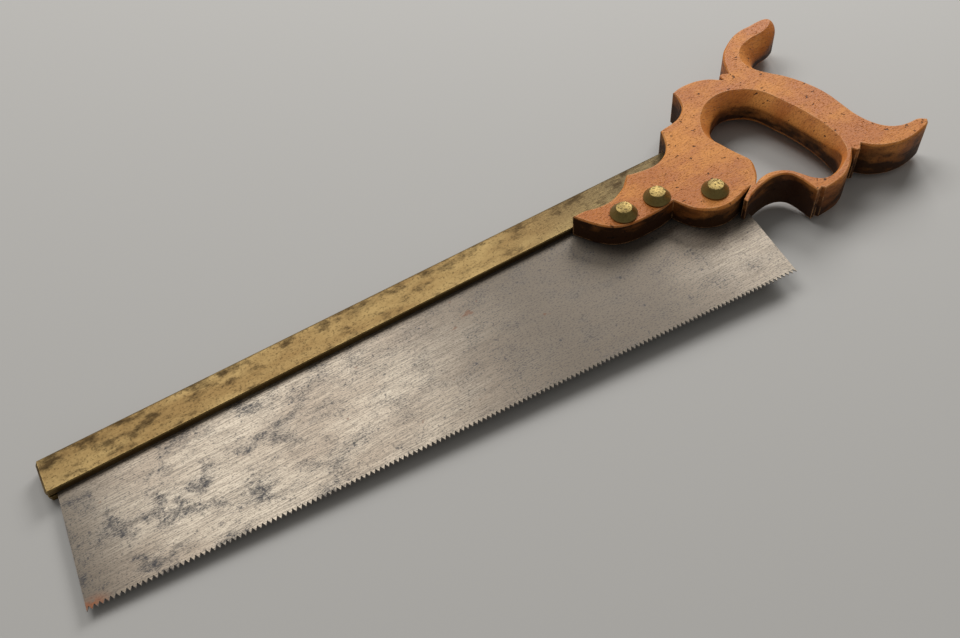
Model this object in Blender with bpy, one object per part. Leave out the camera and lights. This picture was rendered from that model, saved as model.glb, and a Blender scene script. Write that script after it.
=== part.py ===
"""Back saw: a steel plate in a brass back, and a closed wooden handle held by three saw screws.

The saw lies on its right side. Shapes are drawn in the plate's own frame: X runs from the toe to the
heel along the back, Y from the teeth to the back, Z out of the left side, with Z = 0 in the middle of
the plate and X = Y = 0 at the toe end of the back's lower edge. Each object is then set so that the
world origin is on the handle's flat right face.
"""

import math

import bmesh
import bpy
from mathutils import Matrix, Vector

MM = 0.001

# Overall sizes, in millimetres
GAP = 0.3  # clearance between a piece and the piece cut to take it
PLATE_THICKNESS = 0.8
TOOTH_COUNT = 154
TOOTH_DEPTH = 2.0
TOE_TOP = (3.5, 0.0)
TOE_TOOTH = (-0.9, -61.0)
HEEL_TOOTH = (354.2, -82.6)
HEEL_TOP = (360.0, -39.0)
PLATE_IN_BACK = 8.5

BACK_TOE = -0.8
BACK_HEEL = 361.0
BACK_HEIGHT = 19.3
BACK_THICKNESS = 8.0
BACK_TOP_ROUND = 1.6
BACK_FOOT_ROUND = 0.5
BACK_STATIONS = 12  # cross sections along the straight part
TOE_CHAMFER = 1.1

HANDLE_LEFT = 14.0  # left face above the middle of the plate
HANDLE_RIGHT = -7.5  # right face below the middle of the plate
EDGE_CURVE = 1.5  # power of the rounding's curve: it leaves the wall smoothly and meets the face at an arris
EDGE_DEPTH_MOST = 10.0  # deepest rounding, on the upper horn
ORIGIN = (336.0, -12.0, HANDLE_RIGHT)

SCREW_PLACES = {"front": (299.5, -14.0), "middle": (319.6, -14.5), "rear": (346.5, -27.0)}
HEAD_RADIUS = 7.0
HEAD_TOP_RADIUS = 4.2
HEAD_LIP = 0.5
HEAD_HEIGHT = 4.4
SHANK_RADIUS = 2.2
NECK_WIDTH = 6.0
NECK_DEPTH = 5.0
NUT_RADIUS = 5.5
NUT_THICKNESS = 3.2
NUT_SUNK = 0.2
NUT_SLOT_WIDTH = 1.3
NUT_SLOT_DEPTH = 1.0
TURNED_SIDES = 32

# Outer edge of the handle: one list for each stretch between two corners, as (x, y, rounding) knots
OUTER_EDGE = [
    # underside of the front cheek, from its tip
    [(278.2, -1.2, 0.6), (280.8, -6.0, 0.8), (285.2, -12.8, 0.8), (291.0, -18.6, 0.8),
     (298.5, -21.7, 0.8), (308.0, -22.5, 0.8), (318.0, -22.2, 0.8), (326.2, -20.6, 0.6)],
    # the round lobe at the plate's heel
    [(326.2, -20.6, 0.6), (328.4, -26.3, 0.8), (331.9, -32.0, 0.9), (337.0, -36.2, 1.2),
     (343.0, -38.6, 1.4), (349.2, -38.9, 1.5), (355.0, -37.6, 1.5), (360.0, -35.9, 1.1),
     (364.3, -34.4, 0.4)],
    # groove between the lobe and the strap, and the strap's front end
    [(364.3, -34.4, 0.4), (355.3, -40.0, 0.4)],
    [(355.3, -40.0, 0.4), (355.8, -42.2, 0.4)],
    # arch of the strap
    [(355.8, -42.2, 0.4), (361.1, -39.5, 0.8), (366.8, -37.6, 0.8), (372.0, -36.5, 0.8),
     (377.2, -36.1, 0.8), (382.5, -37.2, 0.8), (386.4, -40.4, 0.8), (388.0, -45.5, 0.8), (388.6, -51.0, 0.8),
     (389.3, -55.8, 0.5)],
    # bead below the arch
    [(389.3, -55.8, 0.5), (391.2, -55.6, 0.5)],
    [(391.2, -55.6, 0.5), (392.2, -54.8, 0.4)],
    [(392.2, -54.8, 0.4), (393.6, -56.7, 0.5)],
    # outside of the strap, up to the quirk at the lower horn
    [(393.6, -56.7, 0.5), (400.0, -56.7, 0.9), (406.0, -55.8, 1.0), (411.5, -53.4, 1.0),
     (416.5, -50.0, 1.0), (420.8, -46.0, 1.0), (423.7, -42.6, 0.5)],
    [(423.7, -42.6, 0.5), (424.8, -45.2, 0.5)],
    [(424.8, -45.2, 0.5), (426.6, -45.6, 0.5)],
    [(426.6, -45.6, 0.5), (430.0, -42.4, 0.5)],
    # underside of the lower horn
    [(430.0, -42.4, 0.5), (433.0, -47.0, 1.0), (438.5, -50.9, 1.0), (446.5, -53.6, 1.0),
     (455.0, -54.0, 1.0), (463.0, -52.7, 1.0), (468.3, -50.8, 0.8), (470.4, -48.2, 0.5)],
    # top of the lower horn, back of the grip, and the inside of the upper horn's curl
    [(470.4, -48.2, 0.5), (467.0, -45.2, 0.9), (461.5, -44.6, 1.2), (456.0, -43.1, 1.5),
     (451.7, -40.2, 1.8), (448.3, -35.6, 2.0), (446.0, -29.5, 2.2), (444.8, -22.0, 2.4),
     (444.6, -13.0, 2.4), (444.4, -4.5, 2.4), (443.2, 3.0, 2.4), (441.2, 9.5, 2.4),
     (438.6, 16.3, 2.6), (435.0, 23.5, 3.0), (431.4, 29.4, 3.8), (429.7, 34.5, 5.4),
     (429.3, 39.2, 6.8), (431.2, 43.4, 8.2), (435.2, 46.6, 9.0), (441.5, 48.6, 9.0),
     (447.8, 50.3, 8.0), (453.1, 52.8, 6.4), (457.8, 56.0, 5.0), (461.1, 60.2, 3.6),
     (461.8, 64.2, 2.2), (459.2, 67.0, 1.2), (453.9, 67.5, 1.0), (447.2, 67.0, 1.0),
     (440.7, 66.8, 1.0), (433.8, 65.0, 1.0), (426.8, 61.4, 1.0), (420.0, 56.6, 1.0),
     (415.0, 50.5, 1.0), (412.2, 44.5, 0.8), (410.7, 40.0, 0.5)],
    # nib between the upper horn and the grip's shoulder
    [(410.7, 40.0, 0.5), (407.3, 42.2, 0.5)],
    [(407.3, 42.2, 0.5), (405.0, 41.3, 0.5), (404.7, 37.4, 0.5)],
    # shoulder of the grip
    [(404.7, 37.4, 0.5), (403.2, 39.4, 0.9), (399.2, 42.9, 1.0), (394.2, 45.3, 1.0),
     (388.2, 46.6, 1.0), (381.5, 46.6, 0.9), (375.5, 44.9, 0.5)],
    # cove above the back
    [(375.5, 44.9, 0.5), (375.1, 40.5, 0.8), (373.9, 36.5, 0.9), (371.8, 32.2, 0.9),
     (368.7, 29.2, 0.9), (364.8, 26.9, 0.9), (360.0, 25.6, 0.9), (355.2, 24.9, 0.8),
     (351.4, 24.0, 0.5)],
    # saddle over the back
    [(351.4, 24.0, 0.5), (349.8, 19.0, 0.8), (347.2, 13.8, 0.9), (343.3, 9.3, 0.9),
     (338.4, 6.5, 0.9), (333.2, 5.2, 0.9), (327.2, 5.6, 0.9), (321.5, 6.5, 0.8),
     (317.6, 7.6, 0.5)],
    # upper edge of the front cheek, back to its tip
    [(317.6, 7.6, 0.5), (315.0, 5.6, 1.4), (311.3, 2.2, 1.5), (306.7, -0.5, 1.2),
     (302.0, -2.6, 0.8), (297.0, -3.2, 0.8), (291.5, -2.7, 0.8), (285.5, -1.2, 0.8),
     (278.2, -1.2, 0.6)],
]

# Edge of the hand hole, in the same way, going round the other way
HOLE_EDGE = [
    [(366.8, -34.9, 0.4), (371.3, -30.8, 1.2), (374.9, -25.2, 1.6), (376.6, -19.6, 1.2),
     (374.9, -14.3, 0.8), (372.9, -8.2, 0.8), (371.4, -2.0, 1.0), (371.3, 3.0, 2.5),
     (372.8, 7.5, 4.2), (374.9, 11.0, 5.2), (378.0, 14.6, 6.0), (381.8, 18.2, 6.5),
     (386.7, 21.0, 7.0), (392.0, 22.7, 7.0), (397.3, 22.6, 7.0), (402.0, 20.7, 7.0),
     (406.6, 17.8, 7.0), (410.4, 12.4, 7.0), (413.2, 3.2, 7.0), (415.6, -5.6, 7.0),
     (417.4, -15.4, 7.0), (418.6, -25.0, 6.5), (419.0, -33.0, 5.5), (418.9, -38.5, 3.8),
     (417.2, -42.7, 2.6), (413.1, -46.6, 1.8), (407.7, -49.8, 1.3), (402.0, -51.2, 1.1),
     (397.4, -50.2, 1.0), (393.5, -46.6, 1.0), (390.8, -41.7, 1.0), (388.0, -37.2, 1.0),
     (383.2, -33.5, 1.2), (377.8, -31.9, 1.4), (372.0, -32.6, 1.2), (366.8, -34.9, 0.4)],
]


def clearScene():
    for old in list(bpy.data.objects):
        bpy.data.objects.remove(old, do_unlink=True)


def makeMaterial(name, color, metallic, roughness):
    material = bpy.data.materials.new(name)
    material.use_nodes = True
    shader = material.node_tree.nodes["Principled BSDF"]
    shader.inputs["Base Color"].default_value = (*color, 1.0)
    shader.inputs["Metallic"].default_value = metallic
    shader.inputs["Roughness"].default_value = roughness
    material.diffuse_color = (*color, 1.0)
    return material


def fromOrigin(x, y, z=0.0):
    """A place in the plate's frame, in millimetres, as a world place in metres."""
    return Vector((x - ORIGIN[0], y - ORIGIN[1], z - ORIGIN[2])) * MM


def addObject(name, build, material, place=(0.0, 0.0)):
    """An object whose mesh is filled in millimetres about `place` in the plate's frame."""
    work = bmesh.new()
    build(work)
    bmesh.ops.recalc_face_normals(work, faces=work.faces)
    bmesh.ops.scale(work, vec=(MM, MM, MM), verts=work.verts)
    mesh = bpy.data.meshes.new(name)
    work.to_mesh(mesh)
    work.free()
    mesh.materials.append(material)
    made = bpy.data.objects.new(name, mesh)
    made.location = fromOrigin(*place)
    bpy.context.scene.collection.objects.link(made)
    return made


def addCutter(name, build, place=(0.0, 0.0)):
    cutter = addObject(name, build, bpy.data.materials["cutter"], place)
    cutter.hide_render = True
    cutter.display_type = "WIRE"
    return cutter


def cut(target, cutter):
    modifier = target.modifiers.new("cut_" + cutter.name, "BOOLEAN")
    modifier.operation = "DIFFERENCE"
    modifier.object = cutter


def shadeTurned(turned):
    turned.data.shade_smooth()
    turned.data.set_sharp_from_angle(angle=math.radians(30))


def extrudeOutline(work, outline, low, high):
    """Walls and two flat ends between Z = low and Z = high."""
    below = [work.verts.new((x, y, low)) for x, y in outline]
    above = [work.verts.new((x, y, high)) for x, y in outline]
    for at in range(len(outline)):
        after = (at + 1) % len(outline)
        work.faces.new((below[at], below[after], above[after], above[at]))
    work.faces.new(below[::-1])
    work.faces.new(above)


def addBox(work, low, high):
    corners = Matrix.LocRotScale((Vector(low) + Vector(high)) / 2, None, Vector(high) - Vector(low))
    bmesh.ops.create_cube(work, size=1.0, matrix=corners)


def turn(work, rings):
    """A closed turned body. Each ring is (z, radius, square), and square = 1 gives four flat sides."""
    loops = []
    for z, radius, square in rings:
        loop = []
        for step in range(TURNED_SIDES):
            angle = math.tau * step / TURNED_SIDES
            across = max(abs(math.cos(angle)), abs(math.sin(angle)))
            reach = radius * (1 + square * (1 / across - 1))
            loop.append(work.verts.new((reach * math.cos(angle), reach * math.sin(angle), z)))
        loops.append(loop)
    for lower, upper in zip(loops, loops[1:]):
        for step in range(TURNED_SIDES):
            after = (step + 1) % TURNED_SIDES
            work.faces.new((lower[step], lower[after], upper[after], upper[step]))
    work.faces.new(loops[0][::-1])
    work.faces.new(loops[-1])


def heelX(y):
    """The plate's heel edge, straight from the last tooth to the back."""
    rise = (HEEL_TOP[0] - HEEL_TOOTH[0]) / (HEEL_TOP[1] - HEEL_TOOTH[1])
    return HEEL_TOOTH[0] + rise * (y - HEEL_TOOTH[1])


def buildPlate(work):
    along = (Vector(HEEL_TOOTH) - Vector(TOE_TOOTH)) / TOOTH_COUNT
    across = Vector((along.y, -along.x)).normalized()
    topY = PLATE_IN_BACK
    outline = [(TOE_TOP[0], topY), TOE_TOP]
    for tooth in range(TOOTH_COUNT + 1):
        tip = Vector(TOE_TOOTH) + along * tooth
        outline.append(tuple(tip))
        if tooth < TOOTH_COUNT:
            # cross-cut shape: both flanks slope alike, down to a gullet half way to the next tip
            outline.append(tuple(tip + along * 0.5 - across * TOOTH_DEPTH))
    outline.append((heelX(topY), topY))
    extrudeOutline(work, outline, -PLATE_THICKNESS / 2, PLATE_THICKNESS / 2)


def backProfile(inset):
    """Half sections of the folded strip, joined round the slot for the plate, as (y, z) points."""
    half = BACK_THICKNESS / 2
    slot = PLATE_THICKNESS / 2 + GAP
    foot = BACK_FOOT_ROUND
    points = [
        (PLATE_IN_BACK + GAP, slot), (inset, slot), (inset, half - inset - foot), (inset + foot, half - inset),
    ]
    for step in range(5):
        angle = math.radians(90 * step / 4)
        points.append((
            BACK_HEIGHT - inset - BACK_TOP_ROUND * (1 - math.sin(angle)),
            half - inset - BACK_TOP_ROUND * (1 - math.cos(angle)),
        ))
    return points + [(y, -z) for y, z in reversed(points)]


def buildBack(work):
    stations = [(BACK_TOE, TOE_CHAMFER)]
    straight = BACK_HEEL - BACK_TOE - TOE_CHAMFER
    for station in range(BACK_STATIONS + 1):
        stations.append((BACK_HEEL - straight * (1 - station / BACK_STATIONS), 0.0))
    loops = [[work.verts.new((x, y, z)) for y, z in backProfile(inset)] for x, inset in stations]
    count = len(loops[0])
    for front, rear in zip(loops, loops[1:]):
        for at in range(count):
            after = (at + 1) % count
            work.faces.new((front[at], front[after], rear[after], rear[at]))
    work.faces.new(loops[0][::-1])
    work.faces.new(loops[-1])


def smoothStretch(knots, steps):
    """Points on a Catmull-Rom curve through the knots, without the last one."""
    ends = [knots[0]] + list(knots) + [knots[-1]]
    points = []
    for at in range(1, len(ends) - 2):
        before, start, finish, beyond = (Vector(k) for k in ends[at - 1:at + 3])
        for step in range(steps):
            t = step / steps
            points.append(0.5 * (
                2 * start + (finish - before) * t
                + (2 * before - 5 * start + 4 * finish - beyond) * t ** 2
                + (3 * start - before - 3 * finish + beyond) * t ** 3
            ))
    return points


def smoothLoop(stretches, steps):
    return [point for knots in stretches for point in smoothStretch(knots, steps if len(knots) > 2 else 1)]


def inwardNormals(loop):
    """Unit normals to the left of travel, the way into the wood."""
    normals = []
    for at, point in enumerate(loop):
        arrive = (point - loop[at - 1]).xy.normalized()
        leave = (loop[(at + 1) % len(loop)] - point).xy.normalized()
        middle = (arrive + leave).normalized()
        normals.append(Vector((-middle.y, middle.x)))
    return normals


def buildHandleBody(work, steps=2, bands=4):
    """Walls whose two edges are rounded by each point's own radius, closed by two flat faces."""
    faceEdges = {HANDLE_LEFT: [], HANDLE_RIGHT: []}
    for stretches in (OUTER_EDGE, HOLE_EDGE):
        loop = smoothLoop(stretches, steps)
        normals = inwardNormals(loop)
        levels = []
        for face, facing in ((HANDLE_RIGHT, -1), (HANDLE_LEFT, 1)):
            rings = []
            for band in range(bands + 1):
                inset = (band / bands) ** EDGE_CURVE
                sunk = 1 - band / bands
                ring = []
                for point, normal in zip(loop, normals):
                    rounding = max(point.z, 0.4)
                    depth = min(rounding, EDGE_DEPTH_MOST)
                    place = point.xy + normal * rounding * inset
                    ring.append(work.verts.new((*place, face - facing * depth * sunk)))
                rings.append(ring)
            levels.append(rings)
        right, left = levels
        rings = right[::-1] + left
        for lower, upper in zip(rings, rings[1:]):
            for at in range(len(loop)):
                after = (at + 1) % len(loop)
                work.faces.new((lower[at], lower[after], upper[after], upper[at]))
        for face, ring in ((HANDLE_RIGHT, rings[0]), (HANDLE_LEFT, rings[-1])):
            for at, corner in enumerate(ring):
                faceEdges[face].append(work.edges.get((corner, ring[(at + 1) % len(ring)])))
    for edges in faceEdges.values():
        bmesh.ops.triangle_fill(work, use_beauty=True, use_dissolve=False, edges=edges)


def buildMortise(work):
    """Room for the back, open at the front and above the cheeks."""
    half = BACK_THICKNESS / 2 + GAP
    addBox(work, (270.0, -GAP, -half), (BACK_HEEL + GAP, BACK_HEIGHT + GAP, half))


def buildKerf(work):
    """The saw cut for the plate, which ends just past the plate's heel edge."""
    half = PLATE_THICKNESS / 2 + GAP
    top = PLATE_IN_BACK + GAP
    low = -60.0
    outline = [(270.0, low), (heelX(low) + GAP, low), (heelX(top) + GAP, top), (270.0, top)]
    extrudeOutline(work, outline, -half, half)


def buildScrewRoom(work):
    """Square seat, bore and nut recess of one saw screw."""
    beyond = 2.0
    bore = SHANK_RADIUS + GAP
    seat = NECK_WIDTH / 2 + GAP
    seatFloor = HANDLE_LEFT - NECK_DEPTH
    recessRoof = HANDLE_RIGHT + NUT_SUNK + NUT_THICKNESS + GAP
    turn(work, [
        (HANDLE_RIGHT - beyond, NUT_RADIUS + GAP, 0.0), (recessRoof, NUT_RADIUS + GAP, 0.0),
        (recessRoof, bore, 0.0), (seatFloor, bore, 0.0), (seatFloor, seat, 1.0),
        (HANDLE_LEFT + beyond, seat, 1.0),
    ])


def buildPlateHole(work):
    turn(work, [(-2.0, SHANK_RADIUS + GAP, 0.0), (2.0, SHANK_RADIUS + GAP, 0.0)])


def buildScrew(work):
    """Conical head, square neck and round shank, in one turned and forged piece."""
    seat = HANDLE_LEFT + GAP
    neck = NECK_WIDTH / 2
    neckEnd = seat - NECK_DEPTH
    turn(work, [
        (HANDLE_RIGHT + NUT_SUNK + 0.4, SHANK_RADIUS - 0.3, 0.0),
        (HANDLE_RIGHT + NUT_SUNK + 0.8, SHANK_RADIUS, 0.0),
        (neckEnd, SHANK_RADIUS, 0.0), (neckEnd, neck, 1.0), (seat, neck, 1.0), (seat, HEAD_RADIUS, 0.0),
        (seat + HEAD_LIP, HEAD_RADIUS, 0.0), (seat + HEAD_HEIGHT - 0.3, HEAD_TOP_RADIUS, 0.0),
        (seat + HEAD_HEIGHT, HEAD_TOP_RADIUS - 0.3, 0.0),
    ])


def buildNut(work):
    """Flat round nut with a plain bore in place of its thread."""
    low = HANDLE_RIGHT + NUT_SUNK
    high = low + NUT_THICKNESS
    bore = SHANK_RADIUS + GAP
    rings = []
    for z, radius in ((low, bore), (low, NUT_RADIUS), (high, NUT_RADIUS), (high, bore)):
        circle = [math.tau * step / TURNED_SIDES for step in range(TURNED_SIDES)]
        rings.append([work.verts.new((radius * math.cos(a), radius * math.sin(a), z)) for a in circle])
    for at, ring in enumerate(rings):
        beyond = rings[(at + 1) % len(rings)]
        for step in range(TURNED_SIDES):
            after = (step + 1) % TURNED_SIDES
            work.faces.new((ring[step], ring[after], beyond[after], beyond[step]))


def buildDriverSlot(work):
    """A cut across the nut's face for a split screwdriver."""
    low = HANDLE_RIGHT + NUT_SUNK
    wide = NUT_SLOT_WIDTH / 2
    addBox(work, (-NUT_RADIUS - 1, -wide, low - 1), (NUT_RADIUS + 1, wide, low + NUT_SLOT_DEPTH))


def main():
    clearScene()
    makeMaterial("cutter", (0.5, 0.5, 0.5), 0.0, 0.5)
    steel = makeMaterial("saw_steel", (0.42, 0.39, 0.35), 0.8, 0.5)
    brass = makeMaterial("brass", (0.40, 0.29, 0.11), 1.0, 0.4)
    wood = makeMaterial("apple_wood", (0.42, 0.17, 0.06), 0.0, 0.45)

    plate = addObject("saw_plate", buildPlate, steel)
    addObject("brass_back", buildBack, brass)
    handle = addObject("handle", buildHandleBody, wood)
    handle.data.shade_smooth()
    handle.data.set_sharp_from_angle(angle=math.radians(40))
    cut(handle, addCutter("mortise", buildMortise))
    cut(handle, addCutter("kerf", buildKerf))

    for where, place in SCREW_PLACES.items():
        cut(handle, addCutter("screw_room_" + where, buildScrewRoom, place))
        cut(plate, addCutter("plate_hole_" + where, buildPlateHole, place))
        shadeTurned(addObject("screw_" + where, buildScrew, brass, place))
        nut = addObject("nut_" + where, buildNut, brass, place)
        cut(nut, addCutter("driver_slot_" + where, buildDriverSlot, place))
        shadeTurned(nut)


main()
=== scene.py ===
# Back saw lying on its right side on a pale bench top.
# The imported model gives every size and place; this script gives the finishes, a finer handle,
# finer screw heads, the lights and the camera. Metres throughout, with lengths in mm times `mm`.

import math

import bmesh
import bpy
from mathutils import Matrix, Vector


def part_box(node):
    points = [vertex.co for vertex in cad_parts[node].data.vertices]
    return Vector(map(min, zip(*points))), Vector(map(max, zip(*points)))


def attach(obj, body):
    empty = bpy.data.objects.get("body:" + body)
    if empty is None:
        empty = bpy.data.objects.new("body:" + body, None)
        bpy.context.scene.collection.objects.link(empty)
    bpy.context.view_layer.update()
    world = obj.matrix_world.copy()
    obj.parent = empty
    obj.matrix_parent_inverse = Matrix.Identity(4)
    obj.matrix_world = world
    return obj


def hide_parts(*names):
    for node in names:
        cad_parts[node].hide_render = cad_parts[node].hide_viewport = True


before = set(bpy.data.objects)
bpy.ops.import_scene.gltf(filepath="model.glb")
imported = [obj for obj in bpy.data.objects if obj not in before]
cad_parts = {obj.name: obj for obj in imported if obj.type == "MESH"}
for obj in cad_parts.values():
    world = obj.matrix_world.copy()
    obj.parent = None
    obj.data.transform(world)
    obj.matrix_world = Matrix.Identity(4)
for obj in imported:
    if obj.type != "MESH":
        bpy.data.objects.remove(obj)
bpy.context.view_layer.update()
print("frame loaded:", ", ".join(sorted(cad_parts)))

mm = 0.001
backLow, backHigh = (Vector(corner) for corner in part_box("brass_back"))
handleLow, handleHigh = (Vector(corner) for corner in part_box("handle"))
plateLow, plateHigh = (Vector(corner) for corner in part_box("saw_plate"))
plateMiddle = (plateLow.z + plateHigh.z) / 2


# A place drawn from the toe end of the back's lower edge, and from the plate's middle, in mm
def fromToe(x, y, z=0.0):
    return Vector((backLow.x + x * mm, backLow.y + y * mm, plateMiddle + z * mm))


def toMm(metres):
    return metres / mm


def linear(hexColor):
    channels = [int(hexColor[at:at + 2], 16) / 255 for at in (1, 3, 5)]
    return (*(c / 12.92 if c <= 0.04045 else ((c + 0.055) / 1.055) ** 2.4 for c in channels), 1.0)


# Adds one node and gives one of its outputs. `settings` are its properties, and `links` its inputs by
# name or number, each a value or the output that feeds it.
def addNode(tree, kind, settings, links, output=0):
    node = tree.nodes.new("ShaderNode" + kind)
    for name, value in settings.items():
        setattr(node, name, value)
    for socket, value in links.items():
        if isinstance(value, bpy.types.NodeSocket):
            tree.links.new(value, node.inputs[socket])
        else:
            node.inputs[socket].default_value = value
    return node.outputs[output]


def newMaterial(name, values):
    material = bpy.data.materials.new(name)
    material.use_nodes = True
    shader = material.node_tree.nodes["Principled BSDF"]
    for socket, value in values.items():
        shader.inputs[socket].default_value = value
    return material, material.node_tree, shader


# Noises in the piece's own space, a row for each: the width of a spot along x, y and z in mm, then
# detail, roughness and seed
def addNoises(tree, rows):
    place = addNode(tree, "TexCoord", {}, {}, "Object")
    noises = {}
    for name, (size, detail, roughness, seed) in rows.items():
        moved = addNode(tree, "Mapping", {}, {
            "Vector": place, "Scale": [1 / (wide * mm) for wide in size],
            "Location": (seed * 7.3, seed * 3.1, seed * 5.7),
        })
        noises[name] = addNode(tree, "TexNoise", {}, {
            "Vector": moved, "Scale": 1.0, "Detail": detail, "Roughness": roughness,
        }, "Fac")
    return noises


# The surface's place in mm from the toe end of the back's lower edge, and from the plate's middle
def places(tree):
    place = addNode(tree, "TexCoord", {}, {}, "Object")
    moved = addNode(tree, "Mapping", {}, {
        "Vector": place, "Scale": (1 / mm, 1 / mm, 1 / mm),
        "Location": (-toMm(backLow.x), -toMm(backLow.y), -toMm(plateMiddle)),
    })
    return {axis: addNode(tree, "SeparateXYZ", {}, {"Vector": moved}, axis) for axis in "XYZ"}


# How far the surface is from facing up or down: 0 on the flat faces, 1 on the walls
def steepness(tree):
    normal = addNode(tree, "NewGeometry", {}, {}, "True Normal")
    upright = addNode(tree, "SeparateXYZ", {}, {"Vector": normal}, "Z")
    flatness = addNode(tree, "Math", {"operation": "ABSOLUTE"}, {0: upright})
    return addNode(tree, "Math", {"operation": "SUBTRACT"}, {0: 1.0, 1: flatness})


# Above 0 where the surface turns within `reach` mm: the edges, which the finishes lighten as rubbed wear and
# painted highlight
def sharpness(tree, reach):
    soft = addNode(tree, "Bevel", {"samples": 4}, {"Radius": reach * mm})
    hard = addNode(tree, "NewGeometry", {}, {}, "Normal")
    same = addNode(tree, "VectorMath", {"operation": "DOT_PRODUCT"}, {0: soft, 1: hard}, "Value")
    return addNode(tree, "Math", {"operation": "SUBTRACT"}, {0: 1.0, 1: same})


# 1 in a corner within `reach` mm and 0 in the open; the finishes paint shade into corners with it, and on
# the brass grime as well
def shelter(tree, reach):
    openness = addNode(tree, "AmbientOcclusion", {"samples": 6}, {"Distance": reach * mm}, "AO")
    return addNode(tree, "Math", {"operation": "SUBTRACT"}, {0: 1.0, 1: openness})


# A mask that reaches `most`, a number or a mask's name, where each value followed has come in fully;
# the values come in between two levels
def comeIn(tree, values, most, follows):
    mask = values.get(most, most)
    for name, start, finish in follows:
        mask = addNode(tree, "MapRange", {"interpolation_type": "SMOOTHSTEP"}, {
            "Value": values[name], "From Min": start, "From Max": finish, "To Max": mask,
        })
    return mask


def weightedSum(tree, values, start, weights):
    total = start
    for name, weight in weights.items():
        total = addNode(tree, "Math", {"operation": "MULTIPLY_ADD"}, {0: values[name], 1: weight, 2: total})
    return total


# Tones laid one over another, a row for each: name, tone, then what comeIn takes. Each mask joins the
# values under its name.
def layTones(tree, values, color, layers):
    for name, tone, most, *follows in layers:
        values[name] = comeIn(tree, values, most, follows)
        color = addNode(tree, "Mix", {"data_type": "RGBA"}, {
            0: values[name], 6: color, 7: linear(tone),
        }, 2)
    return color


# The look's roughness and relief are each a start and the weights of what is added to it
def finishShader(tree, shader, values, color, look):
    relief = addNode(tree, "Bump", {}, {
        "Height": weightedSum(tree, values, 0.0, look["relief"]), "Distance": look["reliefMm"] * mm,
        "Strength": 1.0,
    })
    roughness = weightedSum(tree, values, *look["roughness"])
    for socket, value in (("Base Color", color), ("Roughness", roughness), ("Normal", relief)):
        tree.links.new(value, shader.inputs[socket])


woodLook = {
    "ior": 1.5,
    "shine": 0.2,
    "edgeReach": 0.9,
    "nookReach": 6.0,
    "noises": {
        "clouds": ((30.0, 20.0, 24.0), 4, 0.55, 2),
        "grain": ((20.0, 0.9, 3.0), 5, 0.55, 1),
        "flecks": ((2.4, 0.55, 1.2), 4, 0.7, 3),
        "pores": ((1.5, 0.6, 0.8), 3, 0.7, 7),  # drawn as coarse as they need to show
        "scratches": ((0.7, 9.0, 2.0), 3, 0.6, 8),
        "dents": ((3.0, 2.4, 2.8), 3, 0.5, 4),
        "grime": ((11.0, 11.0, 5.0), 5, 0.55, 5),
        "wear": ((6.0, 6.0, 6.0), 4, 0.55, 6),
    },
    # Where the walls get grime and painted shade, darker toward their lower edge, and how the shares add up
    "grimeAndShadePlaces": {
        "front": (0.62, ("X", 345.0, 308.0)),
        "cove": (0.6, ("Y", 6.0, 10.0), ("X", 380.0, 372.0)),
        "strap": (0.45, ("Y", -34.0, -37.0), ("X", 396.0, 388.0)),
        # painted shade: the walls darken toward their lower edge
        "low": (0.72, ("Z", 13.0, -2.0)),
        "patches": (0.5, ("grime", 0.30, 0.68)),
        "worn": (0.8, ("wear", 0.36, 0.6)),
        "dull": (0.14, ("clouds", 0.3, 0.7)),
    },
    "grimeAndShadeSteps": (
        ("MAXIMUM", "cove"), ("MAXIMUM", "strap"), ("ADD", "low"), ("ADD", "patches"), ("MINIMUM", 0.94),
    ),
    "ground": "#bd7030",
    "layers": (
        ("light", "#dc9248", 1.0, ("clouds", 0.36, 0.66)),
        ("darkGrain", "#7b3f18", 0.30, ("grain", 0.50, 0.74)),
        ("darkFlecks", "#74390f", 0.6, ("flecks", 0.50, 0.68)),
        ("darkPores", "#7b3f18", 0.5, ("pores", 0.55, 0.66)),
        ("paleScratches", "#dca672", 0.2, ("scratches", 0.63, 0.72)),
        ("nicks", "#32170a", 0.85, ("dents", 0.665, 0.72)),
        # partly grime, partly painted shade: the walls go near black, most toward their lower edge
        ("grimyShadedWalls", "#1c0d06", "grimeAndShadeShare", ("steep", 0.3, 0.95)),
        # painted shade: near black in corners and in the hand hole, where occlusion keeps the light out
        ("shadedNooks", "#1c0d06", 0.8, ("nooks", 0.4, 0.85)),
        # partly rubbed wear, partly painted highlight: pale lines along the edges
        ("rubbedAndHighlit", "#dca672", "worn", ("edges", 0.004, 0.03)),
    ),
    "roughness": (0.44, {"dull": 1.0, "grimyShadedWalls": 0.15}),
    "relief": {"grain": 0.3, "nicks": -1.18, "flecks": 0.35, "darkPores": -0.4},
    "reliefMm": 0.35,
}


# Apple wood, sawn, rasped and oiled by hand: even orange-brown, fine short flecks and no bold grain,
# dark dents, walls near black that are partly grime and partly painted shade, painted shade in the corners,
# and pale lines on the edges that are partly rubbed wear and partly painted highlight.
def oiledAppleWood():
    look = woodLook
    material, tree, shader = newMaterial("oiled apple wood", {
        "IOR": look["ior"], "Specular IOR Level": look["shine"],
    })
    values = {**addNoises(tree, look["noises"]), **places(tree), "steep": steepness(tree)}
    values["edges"] = sharpness(tree, look["edgeReach"])
    values["nooks"] = shelter(tree, look["nookReach"])
    for name, (most, *follows) in look["grimeAndShadePlaces"].items():
        values[name] = comeIn(tree, values, most, follows)
    share = values["front"]
    for operation, other in look["grimeAndShadeSteps"]:
        share = addNode(tree, "Math", {"operation": operation}, {0: share, 1: values.get(other, other)})
    values["grimeAndShadeShare"] = share
    color = layTones(tree, values, linear(look["ground"]), look["layers"])
    finishShader(tree, shader, values, color, look)
    return material


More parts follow.
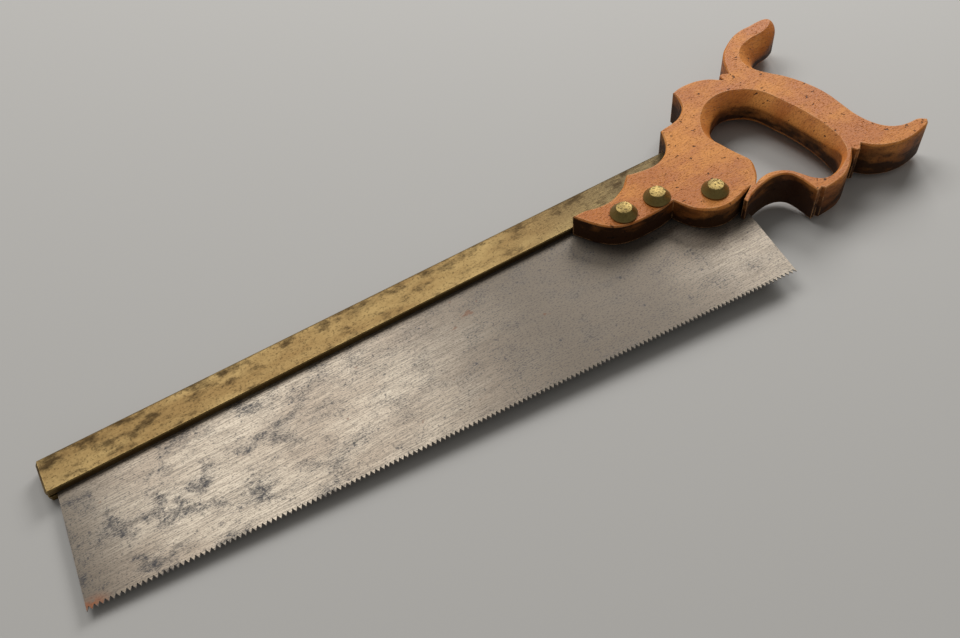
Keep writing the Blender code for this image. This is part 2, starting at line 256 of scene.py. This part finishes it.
brassLook = {
    "edgeReach": 0.7,
    "nookReach": 3.0,
    "noises": {
        "blotches": ((11.0, 6.0, 6.0), 7, 0.62, 11),
        "clouds": ((46.0, 14.0, 10.0), 4, 0.55, 12),
        "scratches": ((9.0, 0.5, 0.5), 3, 0.6, 13),
        "specks": ((1.1, 0.9, 0.9), 3, 0.6, 14),
    },
    # The upper half is the more blotched, and corners get grime and painted shade only near the handle
    "places": {
        "upperHalf": (0.09, ("Y", 4.0, 18.0)),
        "byHandle": (0.85, ("X", 250.0, 275.0)),
        "dull": (0.12, ("specks", 0.4, 0.8)),
    },
    "ground": "#765f3c",
    "layers": (
        ("bright", "#8f7950", 1.0, ("clouds", 0.35, 0.68)),
        ("tarnish", "#4f4531", 0.85, ("X", 225.0, 325.0)),
        ("stain", "#3f3120", 0.75, ("upperBlotches", 0.52, 0.74)),
        ("darkSpecks", "#3f3120", 0.5, ("specks", 0.54, 0.68)),
        ("brightScratches", "#8f7950", 0.45, ("scratches", 0.54, 0.70)),
        # painted shade: the back's lower side darkens to olive-brown
        ("shadedLowerSide", "#6a5326", 0.5, ("Z", 2.6, 0.4)),
        # partly rubbed wear, partly painted highlight: bright lines along the edges
        ("rubbedAndHighlit", "#b59a62", 0.8, ("edges", 0.02, 0.12)),
        # partly grime, partly painted shade: dark brown in corners by the handle, from occlusion
        ("grimyShadedNooks", "#3f3120", "byHandle", ("nooks", 0.3, 0.75)),
    ),
    "roughness": (0.46, {"stain": 0.2, "dull": 1.0}),
    "relief": {"blotches": 0.5, "scratches": 0.2, "specks": 0.25},
    "reliefMm": 0.14,
}


# Yellow brass strip, rolled, folded and then left to age: golden olive-brown with dark-brown blotches,
# greyer near the handle, long fine scratches, bright edges that are partly rubbed metal and partly painted
# highlight, painted shade on the lower side, and grime with painted shade in the corners by the handle.
def agedBrassStrip():
    look = brassLook
    material, tree, shader = newMaterial("aged brass strip", {"Metallic": 1.0})
    values = {**addNoises(tree, look["noises"]), **places(tree)}
    values["edges"] = sharpness(tree, look["edgeReach"])
    values["nooks"] = shelter(tree, look["nookReach"])
    for name, (most, *follows) in look["places"].items():
        values[name] = comeIn(tree, values, most, follows)
    values["upperBlotches"] = weightedSum(tree, values, values["upperHalf"], {"blotches": 1.0})
    color = layTones(tree, values, linear(look["ground"]), look["layers"])
    finishShader(tree, shader, values, color, look)
    return material


turnedLook = {
    "edgeReach": 0.35,
    "noises": {
        "pits": ((1.3, 1.3, 1.3), 4, 0.7, 21),
        "clouds": ((5.0, 5.0, 5.0), 3, 0.55, 22),
    },
    "dull": (0.2, ("pits", 0.4, 0.7)),
    "ground": "#6b5a36",
    "layers": (
        ("bright", "#8b7748", 1.0, ("clouds", 0.35, 0.65)),
        ("darkPits", "#2e2413", 0.75, ("pits", 0.50, 0.62)),
        ("sides", "#93824f", 0.75, ("steep", 0.05, 0.25)),
        # partly rubbed wear, partly painted highlight: bright rims on the heads
        ("rubbedAndHighlit", "#c2a668", 0.7, ("edges", 0.04, 0.2)),
    ),
    "roughness": (0.42, {"dull": 1.0}),
    "relief": {"pits": 1.0},
    "reliefMm": 0.06,
    "sharpAngle": 25.0,
}


# The same metal, turned for the screws and nuts: flat tops with dark pits, plain olive sides and
# bright edges, partly rubbed wear and partly painted highlight
def agedTurnedBrass():
    look = turnedLook
    material, tree, shader = newMaterial("aged turned brass", {"Metallic": 1.0})
    values = {**addNoises(tree, look["noises"]), "steep": steepness(tree)}
    values["edges"] = sharpness(tree, look["edgeReach"])
    most, *follows = look["dull"]
    values["dull"] = comeIn(tree, values, most, follows)
    color = layTones(tree, values, linear(look["ground"]), look["layers"])
    finishShader(tree, shader, values, color, look)
    return material


steelLook = {
    "metallic": 0.7,
    "nookReach": 6.0,
    "noises": {
        "clouds": ((70.0, 34.0, 30.0), 5, 0.6, 31),
        "stains": ((15.0, 11.0, 10.0), 7, 0.66, 35),
        "etch": ((1.3, 0.6, 1.0), 4, 0.7, 33),  # lengthwise, drawn as coarse as it needs to show
        "pits": ((2.6, 2.2, 3.0), 4, 0.7, 36),
        "scratches": ((11.0, 0.42, 1.0), 4, 0.7, 34),
        "rustDots": ((9.0, 7.0, 8.0), 3, 0.55, 38),
        "rustPatches": ((5.0, 4.0, 4.0), 6, 0.55, 35),
    },
    "places": {
        "beforeHeel": (1.0, ("X", 345.0, 285.0)),
        "toeThird": (1.0, ("X", 190.0, 70.0)),
        "toeCorner": (0.9, ("Y", -54.0, -61.0), ("X", 13.0, 1.0)),
    },
    # The middle is duller than the heel, and the toe's third more stained than the rest
    "dullShare": (0.475, {"beforeHeel": 0.475}),
    "stainShare": (0.175, {"toeThird": 0.325}),
    "crowding": 0.22,  # etching and pits crowd where the steel is stained
    "ground": "#ac9d8b",
    "layers": (
        ("pale", "#c8bba8", 1.0, ("clouds", 0.34, 0.66)),
        ("dullToe", "#655c51", 0.95, ("X", 48.0, -6.0)),
        ("dullMiddle", "#655c51", "dullShare", ("X", 130.0, 240.0)),
        ("stained", "#5b5a58", "stainShare", ("stains", 0.46, 0.68)),
        ("dullScratches", "#655c51", 0.6, ("scratches", 0.42, 0.62)),
    ),
    "marks": (
        ("etched", "#3c3c40", 0.65, ("etch", 0.52, 0.64)),
        ("pitted", "#3c3c40", 0.75, ("pits", 0.62, 0.70)),
        ("brownDots", "#6b4632", 0.55, ("rustDots", 0.71, 0.76)),
        ("rust", "#8a4a1e", "toeCorner", ("rustPatches", 0.36, 0.56)),
        ("bareEdges", "#d8d4cc", 0.7, ("steep", 0.5, 0.9)),
        # painted shade: dark grey on the plate where the back and the handle keep the light out
        ("shadedPlateNooks", "#3c3c40", 1.0, ("nooks", 0.35, 0.8)),
    ),
    "roughness": (0.5, {"etched": 0.15}),
    "relief": {"scratches": 0.6, "etched": -0.5},
    "reliefMm": 0.03,
}


# Cast-steel plate, rolled, ground thin and worn: warm pale grey, patina in long clouds, dense dark specks
# where rust was rubbed off, fine scratches along its length, and live rust at the toe's lower corner.
def wornSawSteel():
    look = steelLook
    material, tree, shader = newMaterial("worn saw steel", {"Metallic": look["metallic"]})
    values = {**addNoises(tree, look["noises"]), **places(tree), "steep": steepness(tree)}
    values["nooks"] = shelter(tree, look["nookReach"])
    for name, (most, *follows) in look["places"].items():
        values[name] = comeIn(tree, values, most, follows)
    for name in ("dullShare", "stainShare"):
        values[name] = weightedSum(tree, values, *look[name])
    color = layTones(tree, values, linear(look["ground"]), look["layers"])
    for name in ("etch", "pits"):
        values[name] = weightedSum(tree, values, values[name], {"stained": look["crowding"]})
    color = layTones(tree, values, color, look["marks"])
    finishShader(tree, shader, values, color, look)
    return material


appleWood = oiledAppleWood()
stripBrass = agedBrassStrip()
turnedBrass = agedTurnedBrass()
sawSteel = wornSawSteel()


def paint(thing, material):
    thing.data.materials.clear()
    thing.data.materials.append(material)


# Smooth shading, kept sharp along edges that turn by more than `angle` degrees
def smoothen(mesh, angle):
    mesh.shade_smooth()
    mesh.set_sharp_from_angle(angle=math.radians(angle))


paint(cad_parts["saw_plate"], sawSteel)
paint(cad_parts["brass_back"], stripBrass)
paint(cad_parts["handle"], appleWood)
for nodeName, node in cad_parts.items():
    if nodeName.startswith(("screw_", "nut_")):
        paint(node, turnedBrass)
        smoothen(node.data, turnedLook["sharpAngle"])
print("materials made")


handleShape = {
    "knotSteps": 7,
    "bands": 9,
    "deepestRound": 10.0,
    "leastRound": 0.4,
    "fit": 0.3,
    "sharpAngle": 27.0,
    "edgeCurve": 1.5,  # the rounding leaves the wall smoothly and meets the flat face at an arris
    "heelTooth": (354.2, -82.6),
    "heelLean": 0.133,  # the plate's heel edge goes this far back for each mm up
    "roomToe": 265.0,  # the mortise and the kerf are cut from here, ahead of the cheek's tip
    "kerfFoot": -60.0,
}

# Each list runs between two corners of the handle's edge, as knots (x, y, rounding) in mm from the toe.
# The rounding is how far the wall's two edges are worn or rasped back at that place.
handleEdge = [
    # underside of the front cheek, from its tip
    [(278.2, -1.2, 0.6), (280.8, -6.0, 0.8), (285.2, -12.8, 0.8), (291.0, -18.6, 0.8),
     (298.5, -21.7, 0.8), (308.0, -22.5, 0.8), (318.0, -22.2, 0.8), (326.2, -20.6, 0.6)],
    # the round lobe at the plate's heel
    [(326.2, -20.6, 0.6), (328.4, -26.3, 0.8), (331.9, -32.0, 0.9), (337.0, -36.2, 1.2),
     (343.0, -38.6, 1.4), (349.2, -38.9, 1.5), (355.0, -37.6, 1.5), (360.0, -35.9, 1.1),
     (364.3, -34.4, 0.4)],
    # groove between the lobe and the strap, and the strap's front end
    [(364.3, -34.4, 0.4), (355.3, -40.0, 0.4)],
    [(355.3, -40.0, 0.4), (355.8, -42.2, 0.4)],
    # arch of the strap
    [(355.8, -42.2, 0.4), (361.1, -39.5, 0.8), (366.8, -37.6, 0.8), (372.0, -36.5, 0.8),
     (377.2, -36.1, 0.8), (382.5, -37.2, 0.8), (386.4, -40.4, 0.8), (388.0, -45.5, 0.8), (388.6, -51.0, 0.8),
     (389.3, -55.8, 0.5)],
    # bead below the arch
    [(389.3, -55.8, 0.5), (391.2, -55.6, 0.5)],
    [(391.2, -55.6, 0.5), (392.2, -54.8, 0.4)],
    [(392.2, -54.8, 0.4), (393.6, -56.7, 0.5)],
    # outside of the strap, up to the quirk at the lower horn
    [(393.6, -56.7, 0.5), (400.0, -56.7, 0.9), (406.0, -55.8, 1.0), (411.5, -53.4, 1.0),
     (416.5, -50.0, 1.0), (420.8, -46.0, 1.0), (423.7, -42.6, 0.5)],
    [(423.7, -42.6, 0.5), (424.8, -45.2, 0.5)],
    [(424.8, -45.2, 0.5), (426.6, -45.6, 0.5)],
    [(426.6, -45.6, 0.5), (430.0, -42.4, 0.5)],
    # underside of the lower horn
    [(430.0, -42.4, 0.5), (433.0, -47.0, 1.0), (438.5, -50.9, 1.0), (446.5, -53.6, 1.0),
     (455.0, -54.0, 1.0), (463.0, -52.7, 1.0), (468.3, -50.8, 0.8), (470.4, -48.2, 0.5)],
    # top of the lower horn, back of the grip, and the inside of the upper horn's curl
    [(470.4, -48.2, 0.5), (467.0, -45.2, 0.9), (461.5, -44.6, 1.2), (456.0, -43.1, 1.5),
     (451.7, -40.2, 1.8), (448.3, -35.6, 2.0), (446.0, -29.5, 2.2), (444.8, -22.0, 2.4),
     (444.6, -13.0, 2.4), (444.4, -4.5, 2.4), (443.2, 3.0, 2.4), (441.2, 9.5, 2.4),
     (438.6, 16.3, 2.6), (435.0, 23.5, 3.0), (431.4, 29.4, 3.8), (429.7, 34.5, 5.4),
     (429.3, 39.2, 6.8), (431.2, 43.4, 8.2), (435.2, 46.6, 9.0), (441.5, 48.6, 9.0),
     (447.8, 50.3, 8.0), (453.1, 52.8, 6.4), (457.8, 56.0, 5.0), (461.1, 60.2, 3.6),
     (461.8, 64.2, 2.2), (459.2, 67.0, 1.2), (453.9, 67.5, 1.0), (447.2, 67.0, 1.0),
     (440.7, 66.8, 1.0), (433.8, 65.0, 1.0), (426.8, 61.4, 1.0), (420.0, 56.6, 1.0),
     (415.0, 50.5, 1.0), (412.2, 44.5, 0.8), (410.7, 40.0, 0.5)],
    # nib between the upper horn and the grip's shoulder
    [(410.7, 40.0, 0.5), (407.3, 42.2, 0.5)],
    [(407.3, 42.2, 0.5), (405.0, 41.3, 0.5), (404.7, 37.4, 0.5)],
    # shoulder of the grip
    [(404.7, 37.4, 0.5), (403.2, 39.4, 0.9), (399.2, 42.9, 1.0), (394.2, 45.3, 1.0),
     (388.2, 46.6, 1.0), (381.5, 46.6, 0.9), (375.5, 44.9, 0.5)],
    # cove above the back
    [(375.5, 44.9, 0.5), (375.1, 40.5, 0.8), (373.9, 36.5, 0.9), (371.8, 32.2, 0.9),
     (368.7, 29.2, 0.9), (364.8, 26.9, 0.9), (360.0, 25.6, 0.9), (355.2, 24.9, 0.8),
     (351.4, 24.0, 0.5)],
    # saddle over the back
    [(351.4, 24.0, 0.5), (349.8, 19.0, 0.8), (347.2, 13.8, 0.9), (343.3, 9.3, 0.9),
     (338.4, 6.5, 0.9), (333.2, 5.2, 0.9), (327.2, 5.6, 0.9), (321.5, 6.5, 0.8),
     (317.6, 7.6, 0.5)],
    # upper edge of the front cheek, back to its tip
    [(317.6, 7.6, 0.5), (315.0, 5.6, 1.4), (311.3, 2.2, 1.5), (306.7, -0.5, 1.2),
     (302.0, -2.6, 0.8), (297.0, -3.2, 0.8), (291.5, -2.7, 0.8), (285.5, -1.2, 0.8),
     (278.2, -1.2, 0.6)],
]

handHole = [
    [(366.8, -34.9, 0.4), (371.3, -30.8, 1.2), (374.9, -25.2, 1.6), (376.6, -19.6, 1.2),
     (374.9, -14.3, 0.8), (372.9, -8.2, 0.8), (371.4, -2.0, 1.0), (371.3, 3.0, 2.5),
     (372.8, 7.5, 4.2), (374.9, 11.0, 5.2), (378.0, 14.6, 6.0), (381.8, 18.2, 6.5),
     (386.7, 21.0, 7.0), (392.0, 22.7, 7.0), (397.3, 22.6, 7.0), (402.0, 20.7, 7.0),
     (406.6, 17.8, 7.0), (410.4, 12.4, 7.0), (413.2, 3.2, 7.0), (415.6, -5.6, 7.0),
     (417.4, -15.4, 7.0), (418.6, -25.0, 6.5), (419.0, -33.0, 5.5), (418.9, -38.5, 3.8),
     (417.2, -42.7, 2.6), (413.1, -46.6, 1.8), (407.7, -49.8, 1.3), (402.0, -51.2, 1.1),
     (397.4, -50.2, 1.0), (393.5, -46.6, 1.0), (390.8, -41.7, 1.0), (388.0, -37.2, 1.0),
     (383.2, -33.5, 1.2), (377.8, -31.9, 1.4), (372.0, -32.6, 1.2), (366.8, -34.9, 0.4)],
]


# Points on a Catmull-Rom curve through the knots, without the last one
def smoothStretch(knots, steps):
    ends = [knots[0]] + list(knots) + [knots[-1]]
    points = []
    for at in range(1, len(ends) - 2):
        before, start, finish, beyond = (Vector(k) for k in ends[at - 1:at + 3])
        for step in range(steps):
            t = step / steps
            points.append(0.5 * (
                2 * start + (finish - before) * t
                + (2 * before - 5 * start + 4 * finish - beyond) * t ** 2
                + (3 * start - before - 3 * finish + beyond) * t ** 3
            ))
    return points


def inwardNormals(loop):
    normals = []
    for at, point in enumerate(loop):
        arrive = (point - loop[at - 1]).xy.normalized()
        leave = (loop[(at + 1) % len(loop)] - point).xy.normalized()
        middle = (arrive + leave).normalized()
        normals.append(Vector((-middle.y, middle.x)))
    return normals


def newObject(name, build):
    work = bmesh.new()
    build(work)
    bmesh.ops.recalc_face_normals(work, faces=work.faces)
    mesh = bpy.data.meshes.new(name)
    work.to_mesh(mesh)
    work.free()
    made = bpy.data.objects.new(name, mesh)
    bpy.context.scene.collection.objects.link(made)
    return made


# Stacked rings, each joined to the next, and each end closed unless it is left open
def joinRings(work, rings, closed=True):
    for lower, upper in zip(rings, rings[1:]):
        for at in range(len(lower)):
            after = (at + 1) % len(lower)
            work.faces.new((lower[at], lower[after], upper[after], upper[at]))
    if closed:
        work.faces.new(rings[0][::-1])
        work.faces.new(rings[-1])


def buildHandle(work):
    look = handleShape
    top = toMm(handleHigh.z - plateMiddle)
    bottom = toMm(handleLow.z - plateMiddle)
    rims = {top: [], bottom: []}
    for stretches in (handleEdge, handHole):
        loop = []
        for knots in stretches:
            loop += smoothStretch(knots, look["knotSteps"] if len(knots) > 2 else 2)
        normals = inwardNormals(loop)
        levels = {}
        for face, facing in ((bottom, -1), (top, 1)):
            levels[face] = []
            for band in range(look["bands"] + 1):
                inset = (band / look["bands"]) ** look["edgeCurve"]
                sunk = 1 - band / look["bands"]
                ring = []
                for point, normal in zip(loop, normals):
                    rounding = max(point.z, look["leastRound"])
                    depth = min(rounding, look["deepestRound"])
                    place = point.xy + normal * rounding * inset
                    ring.append(work.verts.new(fromToe(*place, face - facing * depth * sunk)))
                levels[face].append(ring)
        joinRings(work, levels[bottom][::-1] + levels[top], closed=False)
        for face in (bottom, top):
            ring = levels[face][-1]
            rims[face] += [work.edges.get((ring[at - 1], ring[at])) for at in range(len(ring))]
    for edges in rims.values():
        bmesh.ops.triangle_fill(work, use_beauty=True, use_dissolve=False, edges=edges)


def slab(work, outline, low, high):
    joinRings(work, [[work.verts.new(fromToe(x, y, z)) for x, y in outline] for z in (low, high)])


def buildMortise(work):
    fit = handleShape["fit"]
    half = toMm(backHigh.z - backLow.z) / 2 + fit
    end = toMm(backHigh.x - backLow.x) + fit
    high = toMm(backHigh.y - backLow.y) + fit
    toe = handleShape["roomToe"]
    slab(work, [(toe, -fit), (end, -fit), (end, high), (toe, high)], -half, half)


# The saw cut for the plate, up to just past its heel edge
def buildKerf(work):
    look, fit = handleShape, handleShape["fit"]
    half = toMm(plateHigh.z - plateLow.z) / 2 + fit
    heelX, heelY = look["heelTooth"]
    toe, low, high = look["roomToe"], look["kerfFoot"], toMm(plateHigh.y - backLow.y) + fit
    heelLow, heelHigh = (heelX + look["heelLean"] * (y - heelY) + fit for y in (low, high))
    slab(work, [(toe, low), (heelLow, low), (heelHigh, high), (toe, high)], -half, half)


# A round or square-cornered room on a screw's axis, as (z, radius, square) rings in mm
def turned(work, centre, rings, sides=48):
    made = []
    for z, radius, square in rings:
        ring = []
        for step in range(sides):
            angle = math.tau * step / sides
            across = max(abs(math.cos(angle)), abs(math.sin(angle)))
            reach = radius * (1 + square * (1 / across - 1)) * mm
            x, y = centre.x + reach * math.cos(angle), centre.y + reach * math.sin(angle)
            ring.append(work.verts.new((x, y, plateMiddle + z * mm)))
        made.append(ring)
    joinRings(work, made)


def screwCentre(where):
    low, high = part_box("screw_" + where)
    return Vector(((low[0] + high[0]) / 2, (low[1] + high[1]) / 2))


screwShape = {
    "places": ("front", "middle", "rear"),
    "shankRadius": 2.2,
    "neckWidth": 6.0,
    "neckDepth": 5.0,
    "nutRadius": 5.5,
    "nutThickness": 3.2,
    "nutSunk": 0.2,
    "roomBeyond": 2.0,  # the cut for a screw runs past both faces
}


def buildScrewRoom(work, centre):
    look, fit = screwShape, handleShape["fit"]
    top, bottom = (toMm(face.z - plateMiddle) for face in (handleHigh, handleLow))
    seatFloor = top - look["neckDepth"]
    roof = bottom + look["nutSunk"] + look["nutThickness"] + fit
    bore = look["shankRadius"] + fit
    seat = look["neckWidth"] / 2 + fit
    recess, beyond = look["nutRadius"] + fit, look["roomBeyond"]
    turned(work, centre, [
        (bottom - beyond, recess, 0), (roof, recess, 0), (roof, bore, 0),
        (seatFloor, bore, 0), (seatFloor, seat, 1), (top + beyond, seat, 1),
    ])


def makeHandle():
    handle = newObject("carved_handle", buildHandle)
    cutters = [newObject("mortise_room", buildMortise), newObject("kerf_room", buildKerf)]
    for where in screwShape["places"]:
        name = "screw_room_" + where
        cutters.append(newObject(name, lambda work: buildScrewRoom(work, screwCentre(where))))
    for cutter in cutters:
        cut = handle.modifiers.new(cutter.name, "BOOLEAN")
        cut.operation = "DIFFERENCE"
        cut.object = cutter
    bpy.context.view_layer.update()
    solved = handle.evaluated_get(bpy.context.evaluated_depsgraph_get())
    cutMesh = bpy.data.meshes.new_from_object(solved)
    handle.modifiers.clear()
    handle.data = cutMesh
    for cutter in cutters:
        bpy.data.objects.remove(cutter, do_unlink=True)
    smoothen(cutMesh, handleShape["sharpAngle"])
    paint(handle, appleWood)
    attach(handle, "saw")
    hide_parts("handle")


makeHandle()
print("handle carved")


headShape = {
    "radius": 7.0,
    "topRadius": 4.2,
    "lip": 0.5,
    "height": 4.4,
    "dome": 0.16,
    "topRound": 0.35,
    "lipRound": 0.12,
    "lipSlope": 0.15,
    "shankEnd": 0.4,  # from the nut's outer face to the shank's end
    "shankChamfer": 0.3,
    "shankSlope": 0.4,
    "topSteps": 4,
    "domeShares": (0.85, 0.6, 0.3, 0.08),
    "sides": 64,
    "sharpAngle": 32.0,
}


# Forged and turned: a conical head with a slightly domed top and a small worn lip, a square neck and
# a shank
def buildScrew(work, centre):
    look, head = screwShape, headShape
    seat = toMm(handleHigh.z - plateMiddle) + handleShape["fit"]
    end = toMm(handleLow.z - plateMiddle) + look["nutSunk"] + head["shankEnd"]
    shank, neck = look["shankRadius"], look["neckWidth"] / 2
    neckEnd = seat - look["neckDepth"]
    wide, worn, lipTop = head["radius"], head["radius"] - head["lipRound"], seat + head["lip"]
    rings = [
        (end, shank - head["shankChamfer"], 0), (end + head["shankSlope"], shank, 0), (neckEnd, shank, 0),
        (neckEnd, neck, 1), (seat, neck, 1), (seat, worn, 0), (seat + head["lipRound"], wide, 0),
        (lipTop, wide, 0), (lipTop + head["lipSlope"], worn, 0),
    ]
    roundOff = head["topRound"]
    flat = seat + head["height"] - head["dome"]
    for step in range(head["topSteps"]):
        angle = math.radians(90 * step / (head["topSteps"] - 1))
        radius = head["topRadius"] - roundOff * (1 - math.cos(angle))
        rings.append((flat - roundOff * (1 - math.sin(angle)), radius, 0))
    inner = head["topRadius"] - roundOff
    for share in head["domeShares"]:
        rings.append((flat + head["dome"] * (1 - share * share), inner * share, 0))
    turned(work, centre, rings, head["sides"])


def makeScrews():
    for where in screwShape["places"]:
        screw = newObject("saw_screw_" + where, lambda work: buildScrew(work, screwCentre(where)))
        smoothen(screw.data, headShape["sharpAngle"])
        paint(screw, turnedBrass)
        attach(screw, "screw_" + where + "_body")
        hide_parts("screw_" + where)


makeScrews()
print("screws turned")


stageLook = {
    "floor": "#b9b7b3",
    "floorRoughness": 0.85,
    "floorShine": 0.25,
    "floorWide": 6.0,
    "tiltMm": 4.0,  # the saw rests on the back's toe end and on the handle's cheek, this much lower
    "tiltOverMm": 282.0,
    "clearMm": 0.1,
    "worldColor": (1.0, 0.98, 0.95, 1.0),
    "worldStrength": 0.22,
    "middleMm": (235.0, -20.0),
    # From the saw's middle in metres, then size in metres and power in watts
    "lamps": {
        "key_behind_right": ((1.05, 0.85, 0.85), (0.8, 0.6), 15.0),
        "panel_overhead": ((-0.10, 1.30, 1.70), (1.5, 1.1), 22.0),
    },
    "cameraMm": (89.3, -285.7, 381.2),
    "cameraTurn": (24.67, 52.64, -7.27),  # to the right of straight ahead, down, and leaning, in degrees
    "cameraLens": 36.96,
    "cameraSensor": 36.0,
    "cameraClip": (0.02, 20.0),
}


def addFloor():
    look = stageLook
    touch = fromToe(0.0, 0.0, -toMm(backHigh.z - backLow.z) / 2)
    bpy.ops.mesh.primitive_grid_add(x_subdivisions=2, y_subdivisions=2, size=look["floorWide"])
    floor = bpy.context.object
    floor.name = "bench_top"
    floor.rotation_euler = (0.0, math.atan2(look["tiltMm"], look["tiltOverMm"]), 0.0)
    floor.location = touch - Vector((0.0, 0.0, look["clearMm"] * mm))
    paint(floor, newMaterial("matt bench paper", {
        "Base Color": linear(look["floor"]), "Roughness": look["floorRoughness"],
        "Specular IOR Level": look["floorShine"],
    })[0])


def addLamp(name, place, target, size, power):
    lamp = bpy.data.lights.new(name, "AREA")
    lamp.shape = "RECTANGLE"
    lamp.size, lamp.size_y = size
    lamp.energy = power
    holder = bpy.data.objects.new(name, lamp)
    holder.location = place
    holder.rotation_euler = (target - place).to_track_quat("-Z", "Y").to_euler()
    bpy.context.scene.collection.objects.link(holder)


def addLights():
    world = bpy.data.worlds.new("room light")
    world.use_nodes = True
    background = world.node_tree.nodes["Background"]
    background.inputs["Color"].default_value = stageLook["worldColor"]
    background.inputs["Strength"].default_value = stageLook["worldStrength"]
    bpy.context.scene.world = world
    middle = fromToe(*stageLook["middleMm"])
    for name, (offset, size, power) in stageLook["lamps"].items():
        addLamp(name, middle + Vector(offset), middle, size, power)


def addCamera():
    look = stageLook
    lens = bpy.data.cameras.new("camera")
    lens.sensor_width = look["cameraSensor"]
    lens.lens = look["cameraLens"]
    lens.clip_start, lens.clip_end = look["cameraClip"]
    camera = bpy.data.objects.new("camera", lens)
    heading, drop, lean = (math.radians(angle) for angle in look["cameraTurn"])
    turnRound = Matrix.Rotation(-heading, 4, "Z") @ Matrix.Rotation(math.pi / 2 - drop, 4, "X")
    place = Matrix.Translation(fromToe(*look["cameraMm"]))
    camera.matrix_world = place @ turnRound @ Matrix.Rotation(lean, 4, "Z")
    bpy.context.scene.collection.objects.link(camera)
    bpy.context.scene.camera = camera


addFloor()
addLights()
addCamera()
bpy.context.scene.view_settings.view_transform = "Standard"
print("stage set")
